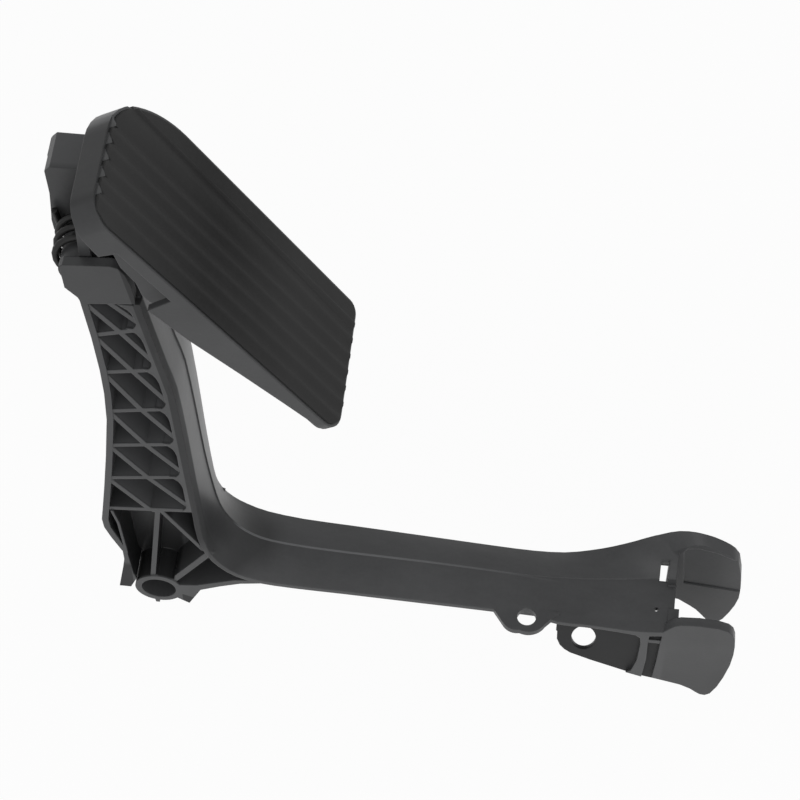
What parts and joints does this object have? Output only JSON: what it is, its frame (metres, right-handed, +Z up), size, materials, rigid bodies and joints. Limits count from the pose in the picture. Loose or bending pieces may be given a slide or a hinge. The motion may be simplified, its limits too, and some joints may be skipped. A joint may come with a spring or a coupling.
{
  "type": "accelerator pedal",
  "caption": "L-shaped moulded accelerator pedal lever with a lattice-ribbed upright, a sprung hinged foot pad with ribbed tread, a corner pivot boss and a forked beam end.",
  "frame": {"origin": "middle of the pivot bore at the corner of the lever", "axes": "+X along the beam towards its forked end, +Y along the pivot bore, away from the side with the lug, +Z up the upright towards the foot pad"},
  "size_m": [0.2063, 0.0476, 0.2452],
  "materials": {
    "lever_plastic": "fine matt glass-filled moulding",
    "pad_plastic": "fine matt moulding",
    "tread_rubber": "ribbed black rubber",
    "pin_steel": "plain ground pin",
    "spring_steel": "oiled spring wire"
  },
  "bodies": {
    "lever": {"pedal_arm": "lever_plastic", "hinge_pin": "pin_steel", "return_spring": "spring_steel"},
    "pad": {"pedal_pad": "pad_plastic", "tread_mat": "tread_rubber"}
  },
  "joints": [
    {"name": "pad_hinge", "type": "hinge", "parent": "lever", "child": "pad", "pos_m": [-0.0097, 0, 0.1665], "axis": [0, 1, 0], "range_deg": [0, 10], "stiffness_Nm_per_rad": 0.4, "springref_deg": -20.05, "deforming": ["return_spring"]}
  ]
}
